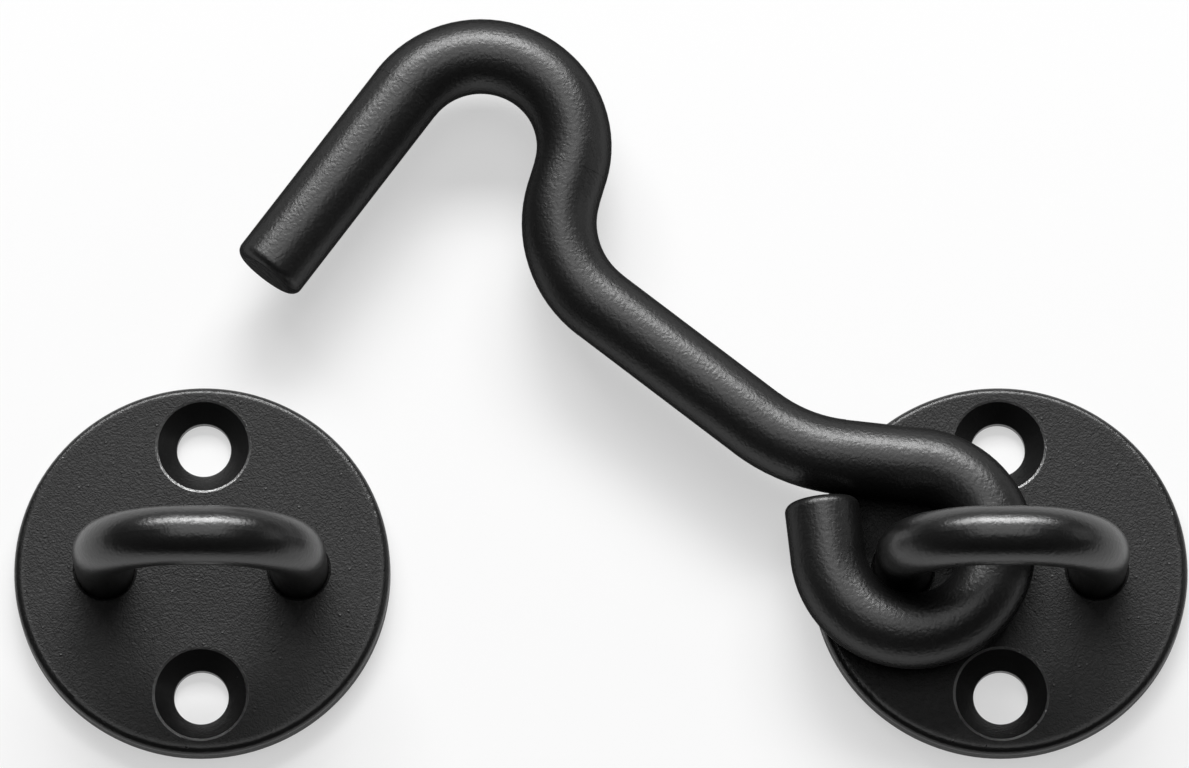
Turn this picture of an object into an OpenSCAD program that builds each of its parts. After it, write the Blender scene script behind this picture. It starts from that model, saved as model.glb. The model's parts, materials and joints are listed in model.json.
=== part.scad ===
// Hook and eye latch in black coated steel: two round plates, each with a round-wire staple
// riveted to it, and a bent rod hook. The hook's eye is closed round one leg of the pivot
// plate's staple, and its tail drops into the keeper plate's staple.
// The origin is the centre of the pivot plate's back face. +Z points out of the plates,
// and the keeper plate lies towards -X. The hook is drawn as it lies open.

/* [Plates] */
// Diameter of each round plate
plate_d = 40; // [34:0.5:60]
// Thickness of each plate
plate_t = 3; // [2.6:0.1:5]
// Rounding of each plate's front edge
plate_round = 0.8; // [0.2:0.1:1.4]
// Edge break round each plate's back
plate_break = 0.3; // [0.1:0.1:0.8]

/* [Screw holes] */
// Hole for the screw's shank
screw_d = 5.8; // [4.5:0.1:7]
// Width of the countersink at the plate's face
sink_d = 10; // [8:0.1:11]
// Softened band along the countersink's rim
sink_lip = 0.12; // [0.05:0.01:0.3]
// Metal left between the countersink and the plate's edge
sink_margin = 1.5; // [1:0.1:4]

/* [Staples] */
// Diameter of the staples' round wire
wire_d = 6.2; // [5:0.1:7]
// Straight run across the top of each staple, between its two bends
crown_run = 2.6; // [0.5:0.1:8]
// Room on each side of the hook's rod between a staple's legs
side_room = 3.2; // [1.5:0.1:6]
// Room above the hook's rod under a staple's crown
headroom = 4.7; // [2:0.1:10]
// Spread of the hammered head that holds each leg behind the plate
rivet_lip = 0.9; // [0.4:0.1:1.3]
// Depth of the hammered head below the plate's back face
rivet_dish = 0.1; // [0.05:0.05:0.3]
// Bevel round the mouth of each leg's hole
leg_mouth = 0.3; // [0.1:0.05:0.5]

/* [Hook] */
// Diameter of the hook's round rod
rod_d = 8; // [6:0.1:10]
// Rounding of the rod's two cut ends
rod_round = 1; // [0.3:0.1:2]
// Slack all round between the eye and the leg it hangs on
eye_slack = 1.9; // [0.6:0.1:3]
// Angle through which the rod bends round the eye
eye_turn = 257; // [235:1:280]
// Straight run between the eye and the throat
eye_run = 8.5; // [6:0.1:20]
// Bend radius of the throat, to the rod's centreline
throat_r = 18; // [10:0.5:30]
// Angle of the throat's bend
throat_turn = 31.5; // [20:0.5:45]
// Straight run of the shank
shank_run = 21; // [15:0.5:80]
// Bend radius of the neck, to the rod's centreline
neck_r = 11.5; // [8:0.5:20]
// Angle of the neck's bend
neck_turn = 68.5; // [50:0.5:80]
// Straight run between the neck and the hook's bend
neck_run = 2.5; // [0.5:0.1:8]
// Bend radius of the hook, to the rod's centreline
bend_r = 10; // [8:0.1:14]
// Angle of the hook's bend
bend_turn = 160; // [140:1:180]
// Straight run of the tail
tail_run = 25; // [15:0.5:40]
// Slope of the shank above the line through the plates, as the hook lies open
shank_tilt = 38; // [25:0.5:60]

/* [Fits] */
// Running gap between the hook and the plate or leg it lies on
run_gap = 0.3; // [0.2:0.05:0.6]
// Direction in which the loose eye lies off its leg
eye_lie = 57; // [0:1:359]
// Gap between the eye's cut end and the shank
eye_gap = 0.15; // [0.05:0.05:2]
// Gap round a leg in its hole
seat_gap = 0.05; // [0.02:0.01:0.15]
// Lean of the latched tail towards the pivot, off the middle of the keeper's staple
latch_lean = 1.35; // [0:0.05:2.5]
// Upset of a bar's metal round its bends, by which they are thicker all round
bend_swell = 0.02; // [0.02:0.01:0.1]

/* [Hidden] */
$fa = 3;
$fs = 0.3;
coat = "#262628";
cut = 1;

plate_r = plate_d / 2;
screw_r = screw_d / 2;
sink_r = sink_d / 2;
sink_z = plate_t - (sink_r - screw_r);
screw_y = plate_r - sink_margin - sink_r;

rod_r = rod_d / 2;
wire_r = wire_d / 2;
hook_z = plate_t + run_gap + rod_r;
leg_x = rod_r + side_room + wire_r;
crown_z = hook_z + rod_r + headroom + wire_r;
corner_bend_r = leg_x - crown_run / 2;
rivet_z = rivet_dish + rivet_lip;
leg_hole_r = wire_r + seat_gap;

// Each leg ends halfway down its hammered head, a cone with its tip inside the leg.
// A bend list holds rows of [turn to the left, bend radius, straight run after the bend].
// A place on a bent bar's centreline is [x, y, heading].
leg_run = crown_z - corner_bend_r - rivet_z + rivet_lip / 2;
staple_rows = [
    [-90, corner_bend_r, crown_run],
    [-90, corner_bend_r, leg_run]
];

// The eye's cut end stops just short of the shank, whatever the eye's size and turn
eye_bore_r = wire_r + eye_slack;
eye_r = eye_bore_r + rod_r;
eye_end_run = (eye_bore_r * (1 - cos(eye_turn)) - eye_gap) / -sin(eye_turn);
eye_heading = 180 - shank_tilt + throat_turn - eye_turn;
eye_centre = [-leg_x, 0] + (eye_slack - run_gap) * ahead(eye_lie);
eye_start = eye_centre - eye_r * left_of(eye_heading);
hook_rows = [
    [eye_turn, eye_r, eye_run],
    [-throat_turn, throat_r, shank_run],
    [-neck_turn, neck_r, neck_run],
    [bend_turn, bend_r, tail_run]
];

// How far a straight runs on inside the bends it joins, within their swell at the tightest one
tightest_r = min(corner_bend_r - wire_r, eye_bore_r, throat_r - rod_r, neck_r - rod_r, bend_r - rod_r);
bend_lap = sqrt(bend_swell * tightest_r);

// The keeper lies where the tail comes down when the hook has swung about its leg
tail_end = path_end(hook_rows, [eye_start.x, eye_start.y, eye_heading]);
reach = abs((tail_end.x + leg_x) * sin(tail_end.z) - tail_end.y * cos(tail_end.z));
keeper_x = -leg_x - reach - latch_lean;

function ahead(angle) = [cos(angle), sin(angle)];
function left_of(angle) = [-sin(angle), cos(angle)];

// Place at the end of a row that starts at from
function row_end(row, from) =
    let (
        heading = from.z + row[0],
        side = sign(row[0]) * row[1],
        at = [from.x, from.y] + side * (left_of(from.z) - left_of(heading)) + row[2] * ahead(heading)
    )
    [at.x, at.y, heading];

// Place at the end of a whole list of rows
function path_end(rows, from, i = 0) =
    i == len(rows) ? from : path_end(rows, row_end(rows[i], from), i + 1);

// Straight round bar from the origin along +X that starts inside a bend, with its far end rounded
module bar(run, r, end_round = 0) {
    translate([-bend_lap, 0, 0])
        rotate([0, 90, 0])
            rotate_extrude() {
                square([r, bend_lap + run - end_round]);
                square([r - end_round, bend_lap + run]);
                if (end_round > 0)
                    translate([r - end_round, bend_lap + run - end_round])
                        circle(end_round);
            }
}

// Bend that starts at the origin along +X
module bend(turn, radius, r) {
    mirror([0, turn < 0 ? 1 : 0, 0])
        translate([0, radius, 0])
            rotate(-90)
                rotate_extrude(angle = abs(turn))
                    translate([radius, 0])
                        circle(r + bend_swell);
}

// Moves what follows a bend to the bend's end
module past_bend(turn, radius) {
    side = sign(turn) * radius;
    translate([0, side, 0])
        rotate(turn)
            translate([0, -side, 0])
                children();
}

// Round bar in the XY plane that follows a list of rows from the origin along +X
module bent_bar(rows, r, end_round = 0, i = 0) {
    turn = rows[i][0];
    radius = rows[i][1];
    run = rows[i][2];
    is_last = i == len(rows) - 1;
    bend(turn, radius, r);
    past_bend(turn, radius) {
        if (is_last) {
            bar(run, r, end_round);
        } else {
            bar(run + bend_lap, r);
            translate([run, 0, 0])
                bent_bar(rows, r, end_round, i + 1);
        }
    }
}

// Half section of a plate before it is drilled
module plate_section() {
    polygon([
        [0, 0],
        [plate_r - plate_break, 0],
        [plate_r, plate_break],
        [plate_r, plate_t - plate_round],
        [0, plate_t - plate_round]
    ]);
    square([plate_r - plate_round, plate_t]);
    translate([plate_r - plate_round, plate_t - plate_round])
        circle(plate_round);
}

// Half section of a countersunk screw hole, past both faces
module screw_hole_section() {
    polygon([
        [0, -cut],
        [screw_r, -cut],
        [screw_r, sink_z],
        [sink_r - sink_lip, plate_t - sink_lip],
        [sink_r + sink_lip, plate_t],
        [sink_r + sink_lip, plate_t + cut],
        [0, plate_t + cut]
    ]);
}

// Half section of a leg's hole: bevelled in front, sunk behind for the hammered head
module leg_hole_section() {
    polygon([
        [0, -cut],
        [leg_hole_r + rivet_z + cut, -cut],
        [leg_hole_r, rivet_z],
        [leg_hole_r, plate_t - leg_mouth],
        [leg_hole_r + leg_mouth + cut, plate_t + cut],
        [0, plate_t + cut]
    ]);
}

// Turned plate with its two screw holes and its two leg holes
module drilled_plate() {
    difference() {
        rotate_extrude()
            plate_section();
        for (side = [-1, 1]) {
            translate([0, side * screw_y, 0])
                rotate_extrude()
                    screw_hole_section();
            translate([side * leg_x, 0, 0])
                rotate_extrude()
                    leg_hole_section();
        }
    }
}

// Bent wire staple with its leg ends hammered out into the plate's back
module riveted_staple() {
    translate([-leg_x, 0, crown_z - corner_bend_r])
        rotate([90, -90, 0]) {
            bent_bar(staple_rows, wire_r);
            mirror([1, 0, 0])
                bar(leg_run, wire_r);
        }
    for (side = [-1, 1])
        translate([side * leg_x, 0, rivet_dish])
            cylinder(h = wire_r + rivet_lip, r1 = wire_r + rivet_lip, r2 = 0);
}

module pivot_plate() {
    color(coat)
        drilled_plate();
}

module pivot_staple() {
    color(coat)
        riveted_staple();
}

module hook() {
    color(coat)
        translate([eye_start.x, eye_start.y, hook_z])
            rotate(eye_heading) {
                bent_bar(hook_rows, rod_r, rod_round);
                mirror([1, 0, 0])
                    bar(eye_end_run, rod_r, rod_round);
            }
}

module keeper_plate() {
    color(coat)
        translate([keeper_x, 0, 0])
            drilled_plate();
}

module keeper_staple() {
    color(coat)
        translate([keeper_x, 0, 0])
            riveted_staple();
}

pivot_plate();
pivot_staple();
hook();
keeper_plate();
keeper_staple();
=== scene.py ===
import json
from math import cos, radians, sin

import bpy
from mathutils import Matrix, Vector


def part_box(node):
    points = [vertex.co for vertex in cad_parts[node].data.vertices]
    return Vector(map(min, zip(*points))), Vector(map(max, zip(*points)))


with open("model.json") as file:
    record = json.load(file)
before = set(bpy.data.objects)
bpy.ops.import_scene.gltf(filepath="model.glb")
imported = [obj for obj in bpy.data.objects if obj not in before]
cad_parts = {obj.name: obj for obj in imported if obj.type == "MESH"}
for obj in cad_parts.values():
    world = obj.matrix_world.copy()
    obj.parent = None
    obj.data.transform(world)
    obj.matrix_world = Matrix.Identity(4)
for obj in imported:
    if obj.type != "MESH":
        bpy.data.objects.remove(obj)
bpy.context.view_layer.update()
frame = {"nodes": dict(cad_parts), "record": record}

nodes = frame["nodes"]


# Round plates
# Two discs pressed from 3 mm steel sheet and countersunk for two screws each. They are powder
# coated in satin black, and the powder flows out to a fine leathery grain with small dust nibs.

mm_per_m = 1000


def add_node(tree, kind, **settings):
    made = tree.nodes.new(kind)
    for name, value in settings.items():
        setattr(made, name, value)
    return made


# Sets a socket to a plain value, or links another node's output to it
def feed(tree, socket, value):
    if isinstance(value, bpy.types.NodeSocket):
        tree.links.new(value, socket)
    else:
        socket.default_value = value


def add_math(tree, operation, first, second=0):
    made = add_node(tree, "ShaderNodeMath", operation=operation)
    feed(tree, made.inputs[0], first)
    feed(tree, made.inputs[1], second)
    return made.outputs[0]


def add_vector_math(tree, operation, *values):
    made = add_node(tree, "ShaderNodeVectorMath", operation=operation)
    for socket, value in zip(made.inputs, values):
        feed(tree, socket, value)
    return made.outputs


def add_noise(tree, place, **values):
    made = add_node(tree, "ShaderNodeTexNoise")
    feed(tree, made.inputs["Vector"], place)
    for name, value in values.items():
        feed(tree, made.inputs[name.title()], value)
    return made.outputs


# Mixes two colours or two numbers. A Mix node has sockets of its own for each kind.
def add_mix(tree, kind, share, first, second):
    made = add_node(tree, "ShaderNodeMix", data_type=kind)
    first_at, second_at, mixed_at = (6, 7, 2) if kind == "RGBA" else (2, 3, 0)
    feed(tree, made.inputs[0], share)
    feed(tree, made.inputs[first_at], first)
    feed(tree, made.inputs[second_at], second)
    return made.outputs[mixed_at]


# Goes from 0 where value is start to 1 where it is end
def add_ramp(tree, value, start, end):
    made = add_node(tree, "ShaderNodeMapRange", clamp=True)
    feed(tree, made.inputs["Value"], value)
    feed(tree, made.inputs["From Min"], start)
    feed(tree, made.inputs["From Max"], end)
    return made.outputs[0]


def new_group(name, inputs, outputs):
    group = bpy.data.node_groups.new(name, "ShaderNodeTree")
    for label, start in inputs:
        kind = "NodeSocketColor" if isinstance(start, tuple) else "NodeSocketFloat"
        socket = group.interface.new_socket(label, in_out="INPUT", socket_type=kind)
        socket.default_value = start
    for label, kind in outputs:
        group.interface.new_socket(label, in_out="OUTPUT", socket_type=kind)
    return group, add_node(group, "NodeGroupInput").outputs, add_node(group, "NodeGroupOutput").inputs


# Millimetres on the piece itself, so that the grain stays put as the piece moves
def piece_mm(tree):
    place = add_node(tree, "ShaderNodeTexCoord").outputs["Object"]
    return add_vector_math(tree, "MULTIPLY", place, (mm_per_m, mm_per_m, mm_per_m))["Vector"]


# Leathery grain of a powder coat: soft pebbles drawn out of line, with short wavy creases
def leathery_grain():
    drift_mm = 0.7
    creases_per_pebble = 0.8
    group, given, put = new_group(
        "leathery grain",
        [("Pebble Size", 0.5), ("Pebble Height", 1.0), ("Crease Height", 0.6), ("Peel Height", 0.5)],
        [("Height", "NodeSocketFloat")],
    )
    place = piece_mm(group)
    drift = add_noise(group, place, scale=1.3, detail=1)["Color"]
    drawn = add_vector_math(group, "MULTIPLY_ADD", drift, (drift_mm, drift_mm, drift_mm), place)["Vector"]

    pebbles_per_mm = add_math(group, "DIVIDE", 1, given["Pebble Size"])
    pebble = add_node(group, "ShaderNodeTexVoronoi", feature="SMOOTH_F1")
    feed(group, pebble.inputs["Vector"], drawn)
    feed(group, pebble.inputs["Scale"], pebbles_per_mm)
    feed(group, pebble.inputs["Smoothness"], 0.55)
    sunk = add_math(group, "MULTIPLY", pebble.outputs["Distance"], given["Pebble Height"])

    creases_per_mm = add_math(group, "MULTIPLY", pebbles_per_mm, creases_per_pebble)
    crease = add_noise(group, drawn, scale=creases_per_mm, detail=2, distortion=0.9)["Fac"]
    ridge = add_math(group, "ABSOLUTE", add_math(group, "SUBTRACT", crease, 0.5))
    creased = add_math(group, "MULTIPLY", ridge, given["Crease Height"])

    peel = add_noise(group, place, scale=0.45, detail=1)["Fac"]
    peeled = add_math(group, "MULTIPLY", peel, given["Peel Height"])
    raised = add_math(group, "ADD", creased, peeled)
    feed(group, put["Height"], add_math(group, "SUBTRACT", raised, sunk))
    return group


# Cloudy colour and gloss of the coat, where the powder lies thicker or thinner
def coat_clouds():
    group, given, put = new_group(
        "coat clouds",
        [
            ("Thick Colour", (0.007, 0.007, 0.007, 1)),
            ("Thin Colour", (0.011, 0.011, 0.011, 1)),
            ("Gloss Side", 0.40),
            ("Dull Side", 0.50),
        ],
        [("Colour", "NodeSocketColor"), ("Roughness", "NodeSocketFloat")],
    )
    place = piece_mm(group)
    cloud = add_noise(group, place, scale=0.16, detail=4, roughness=0.62)["Fac"]
    tone = add_mix(group, "RGBA", cloud, given["Thick Colour"], given["Thin Colour"])
    feed(group, put["Colour"], tone)
    fine = add_noise(group, place, scale=1.1, detail=3)["Fac"]
    satin = add_mix(group, "FLOAT", fine, given["Gloss Side"], given["Dull Side"])
    feed(group, put["Roughness"], satin)
    return group


# Dust nibs: specks that settled in the powder before it was baked
def dust_nibs():
    group, given, put = new_group(
        "dust nibs",
        [("Spacing", 2.2), ("Share", 0.25), ("Nib Size", 0.14)],
        [("Nib", "NodeSocketFloat")],
    )
    speck = add_node(group, "ShaderNodeTexVoronoi")
    feed(group, speck.inputs["Vector"], piece_mm(group))
    feed(group, speck.inputs["Scale"], add_math(group, "DIVIDE", 1, given["Spacing"]))
    reach = add_math(group, "DIVIDE", given["Nib Size"], given["Spacing"])
    near = add_math(group, "SUBTRACT", 1, add_math(group, "DIVIDE", speck.outputs["Distance"], reach))
    cone = add_math(group, "MAXIMUM", near, 0)
    draw = add_node(group, "ShaderNodeSeparateColor")
    feed(group, draw.inputs[0], speck.outputs["Color"])
    chosen = add_math(group, "LESS_THAN", draw.outputs[0], given["Share"])
    feed(group, put["Nib"], add_math(group, "MULTIPLY", cone, chosen))
    return group


# Edges that handling has rubbed a little smoother than the faces beside them, in patches; their colour is
# also painted a little lighter, a painted sheen along the edges
def rubbed_and_sheen_edges():
    flat_cosine = 0.985
    edge_cosine = 0.90
    group, given, put = new_group(
        "rubbed and sheen edges",
        [("Edge Width", 0.0004), ("Patch Share", 0.6)],
        [("Rub And Sheen", "NodeSocketFloat")],
    )
    soft = add_node(group, "ShaderNodeBevel", samples=3)
    feed(group, soft.inputs["Radius"], given["Edge Width"])
    true = add_node(group, "ShaderNodeNewGeometry")
    turn = add_vector_math(group, "DOT_PRODUCT", soft.outputs["Normal"], true.outputs["Normal"])["Value"]
    edge = add_ramp(group, turn, flat_cosine, edge_cosine)
    patch = add_noise(group, piece_mm(group), scale=0.8, detail=3)["Fac"]
    patched_edge = add_math(group, "LESS_THAN", patch, given["Patch Share"])
    feed(group, put["Rub And Sheen"], add_math(group, "MULTIPLY", edge, patched_edge))
    return group


grain = leathery_grain()
clouds = coat_clouds()
nibs = dust_nibs()
rubbed_and_sheen = rubbed_and_sheen_edges()


def place_group(tree, group, **values):
    made = add_node(tree, "ShaderNodeGroup", node_tree=group)
    for name, value in values.items():
        made.inputs[name.replace("_", " ").title()].default_value = value
    return made.outputs


# Painted sheen: the lighter black that the rubbed edges are painted
edge_sheen_black = (0.03, 0.03, 0.03, 1)
rub_polish = 0.08
nib_polish = 0.35
# Painted highlight: the bright metallic grey painted on the lip of each screw seat
lip_glint_grey = (0.2, 0.2, 0.2, 1)
film_polish = 0.36
film_levelling = 0.8


# Satin black powder coat, with its own grain and gloss on each kind of piece. Where film is given,
# it returns two masks: where the powder has flowed out thin and smooth, and the seat lips, which get a
# painted highlight of bright metallic grey.
def black_coat(name, specular, relief_mm, grain_values, cloud_values, nib_values, film=None):
    coat = bpy.data.materials.new(name)
    coat.use_nodes = True
    tree = coat.node_tree
    shader = tree.nodes["Principled BSDF"]
    shader.inputs["Specular IOR Level"].default_value = specular

    def lowered(value, mask, amount):
        return add_math(tree, "SUBTRACT", value, add_math(tree, "MULTIPLY", mask, amount))

    cloud = place_group(tree, clouds, **cloud_values)
    rub_and_sheen = place_group(tree, rubbed_and_sheen)["Rub And Sheen"]
    nib = place_group(tree, nibs, **nib_values)["Nib"]
    # Painted sheen along the edges: their colour is mixed toward a lighter black
    colour = add_mix(tree, "RGBA", rub_and_sheen, cloud["Colour"], edge_sheen_black)
    roughness = lowered(cloud["Roughness"], rub_and_sheen, rub_polish)
    roughness = lowered(roughness, nib, nib_polish)
    height = add_math(tree, "ADD", place_group(tree, grain, **grain_values)["Height"], nib)

    if film:
        thin, lip_glint = film(tree)
        # Painted highlight: each seat's lip turns bright metallic grey
        colour = add_mix(tree, "RGBA", lip_glint, colour, lip_glint_grey)
        feed(tree, shader.inputs["Metallic"], lip_glint)
        roughness = lowered(roughness, thin, film_polish)
        height = add_math(tree, "MULTIPLY", height, lowered(1, thin, film_levelling))

    feed(tree, shader.inputs["Base Color"], colour)
    feed(tree, shader.inputs["Roughness"], roughness)
    relief = add_node(tree, "ShaderNodeBump")
    relief.inputs["Distance"].default_value = relief_mm / mm_per_m
    feed(tree, relief.inputs["Height"], height)
    feed(tree, shader.inputs["Normal"], relief.outputs["Normal"])
    return coat


plate_low, plate_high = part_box("pivot_plate")
plate_mm = (plate_high[0] - plate_low[0]) * mm_per_m
plate_t_mm = (plate_high[2] - plate_low[2]) * mm_per_m
screws = next(m for m in frame["record"]["mounts"] if m["name"] == "pivot_screws")
screw_mm = screws["dims"]["spacing_y_mm"] / 2
seat_mm = 4.85
lip_mm = 0.27
lip_thinning = 0.5
rim_mm = 0.8
rim_fade = 1.5
rim_thinning = 0.85


# The powder is drawn thin round a plate's rounded rim and in its screw seats and their lips, and each
# seat's lip gets a painted highlight of bright metallic grey. The masks go by the distance to the plate's
# axis and screws.
def rim_and_seats(tree):
    place = add_node(tree, "ShaderNodeTexCoord").outputs["Generated"]
    plate_r_mm = plate_mm / 2
    to_mm = (plate_mm, plate_mm, 0)
    to_centre = (-plate_r_mm, -plate_r_mm, 0)
    centred = add_vector_math(tree, "MULTIPLY_ADD", place, to_mm, to_centre)["Vector"]
    from_axis = add_vector_math(tree, "LENGTH", centred)["Value"]
    edge = add_ramp(tree, from_axis, plate_r_mm - rim_fade * rim_mm, plate_r_mm - rim_mm)
    split = add_node(tree, "ShaderNodeSeparateXYZ")
    feed(tree, split.inputs[0], place)
    rounded = add_math(tree, "GREATER_THAN", split.outputs["Z"], 1 - rim_mm / plate_t_mm)
    rim = add_math(tree, "MULTIPLY", edge, add_math(tree, "MULTIPLY", rounded, rim_thinning))

    folded = add_vector_math(tree, "ABSOLUTE", centred)["Vector"]
    from_screw = add_vector_math(tree, "DISTANCE", folded, (0, screw_mm, 0))["Value"]
    seat = add_math(tree, "LESS_THAN", from_screw, seat_mm)
    seat_and_lip = add_math(tree, "LESS_THAN", from_screw, seat_mm + lip_mm)
    lip = add_math(tree, "SUBTRACT", seat_and_lip, seat)
    thin_lip = add_math(tree, "MULTIPLY", lip, lip_thinning)
    thin = add_math(tree, "MAXIMUM", add_math(tree, "MAXIMUM", rim, seat), thin_lip)
    return thin, lip


plate_coat = black_coat(
    "plate_coat_black",
    specular=0.43,
    relief_mm=0.062,
    grain_values=dict(pebble_size=0.24, pebble_height=1.0, crease_height=1.0, peel_height=0.2),
    cloud_values=dict(gloss_side=0.56, dull_side=0.66),
    nib_values=dict(spacing=0.9, share=0.3, nib_size=0.19),
    film=rim_and_seats,
)
for name in ("pivot_plate", "keeper_plate"):
    nodes[name].material_slots[0].material = plate_coat


# Staples
# Round steel wire bent into a low arch, its two legs pushed through the plate and hammered out
# behind it. They were coated with the plates, and the thin round wire took a smoother film.

staple_coat = black_coat(
    "staple_coat_black",
    specular=0.7,
    relief_mm=0.016,
    grain_values=dict(pebble_size=0.42, pebble_height=1.0, crease_height=0.6, peel_height=0.4),
    cloud_values=dict(
        thick_colour=(0.005, 0.005, 0.005, 1),
        thin_colour=(0.008, 0.008, 0.008, 1),
        gloss_side=0.28,
        dull_side=0.34,
    ),
    nib_values=dict(share=0.1),
)
for name in ("pivot_staple", "keeper_staple"):
    nodes[name].material_slots[0].material = staple_coat


# Hook
# One length of 8 mm steel rod, bent cold: the eye is closed round the staple's leg, and the
# tail's end is cut and rounded. Its coat has the boldest grain and the sheen of graphite.

hook_coat = black_coat(
    "hook_coat_black",
    specular=0.5,
    relief_mm=0.028,
    grain_values=dict(pebble_size=0.42, pebble_height=1.0, crease_height=0.8, peel_height=0.3),
    cloud_values=dict(
        thick_colour=(0.060, 0.060, 0.060, 1),
        thin_colour=(0.070, 0.070, 0.070, 1),
        gloss_side=0.37,
        dull_side=0.44,
    ),
    nib_values=dict(share=0.1),
)
# Mostly metallic, with a dark edge tint, so that the rod's rims stay dark
hook_shader = hook_coat.node_tree.nodes["Principled BSDF"]
hook_shader.inputs["Metallic"].default_value = 0.94
hook_shader.inputs["Specular Tint"].default_value = (0.12, 0.12, 0.12, 1)
nodes["hook"].material_slots[0].material = hook_coat


# Studio
# A plain white table that keeps the shadows. A long strip softbox with a brighter core stands
# behind the latch, a dimmer one hangs overhead and a weak panel stands on the right. The camera
# looks almost straight down.

table_z = -0.0001
bpy.ops.mesh.primitive_circle_add(vertices=96, radius=4, fill_type="NGON", location=(0, 0, table_z))
studio_table = bpy.context.object
studio_table.name = "studio_table"

table_white = bpy.data.materials.new("table_white")
table_white.use_nodes = True
tree = table_white.node_tree
tree.nodes.clear()
matt = add_node(tree, "ShaderNodeBsdfDiffuse")
matt.inputs["Color"].default_value = (0.42, 0.42, 0.42, 1)
glow_strength = 0.52
glow = add_node(tree, "ShaderNodeEmission")
ray = add_node(tree, "ShaderNodeLightPath").outputs
seen = add_math(tree, "MAXIMUM", ray["Is Camera Ray"], ray["Is Glossy Ray"])
seen = add_math(tree, "MAXIMUM", seen, ray["Is Transmission Ray"])
feed(tree, glow.inputs["Strength"], add_math(tree, "MULTIPLY", seen, glow_strength))
both = add_node(tree, "ShaderNodeAddShader")
feed(tree, both.inputs[0], matt.outputs[0])
feed(tree, both.inputs[1], glow.outputs[0])
feed(tree, add_node(tree, "ShaderNodeOutputMaterial").inputs["Surface"], both.outputs[0])
studio_table.data.materials.append(table_white)

aim = Vector((-0.0431, 0.02105, 0))


# A soft lamp that faces the latch, set by its radiance: a lamp's energy is 4 times that per area
def softbox(name, azimuth, elevation, distance, width, height, radiance):
    away = Vector((
        sin(radians(azimuth)) * cos(radians(elevation)),
        cos(radians(azimuth)) * cos(radians(elevation)),
        sin(radians(elevation)),
    ))
    lamp = bpy.data.lights.new(name, "AREA")
    lamp.shape = "RECTANGLE"
    lamp.size = width
    lamp.size_y = height
    lamp.energy = radiance * 4 * width * height
    holder = bpy.data.objects.new(name, lamp)
    bpy.context.collection.objects.link(holder)
    holder.location = aim + away * distance
    holder.rotation_euler = (-away).to_track_quat("-Z", "Y").to_euler()
    holder.visible_camera = False


softbox("back_strip", azimuth=-2, elevation=41, distance=1.6, width=1.8, height=0.42, radiance=10)
softbox("back_core", azimuth=0, elevation=41, distance=1.58, width=0.6, height=0.42, radiance=8)
softbox("overhead", azimuth=0, elevation=82, distance=1.6, width=1.0, height=1.1, radiance=1.2)
softbox("right_panel", azimuth=80, elevation=22, distance=1.6, width=0.9, height=0.6, radiance=0.5)

world = bpy.data.worlds.new("studio_air")
bpy.context.scene.world = world
world.use_nodes = True
air = world.node_tree.nodes["Background"]
air.inputs["Color"].default_value = (1, 1, 1, 1)
air.inputs["Strength"].default_value = 0.03

camera = bpy.data.objects.new("camera", bpy.data.cameras.new("camera"))
bpy.context.collection.objects.link(camera)
camera_tilt = radians(14)
camera_distance = 0.9646
camera.location = aim + camera_distance * Vector((0, -sin(camera_tilt), cos(camera_tilt)))
camera.rotation_euler = (camera_tilt, 0, 0)
camera.data.sensor_width = 36
camera.data.lens = 272.5
camera.data.clip_start = 0.01
camera.data.clip_end = 100
bpy.context.scene.camera = camera
bpy.context.scene.view_settings.view_transform = "Standard"
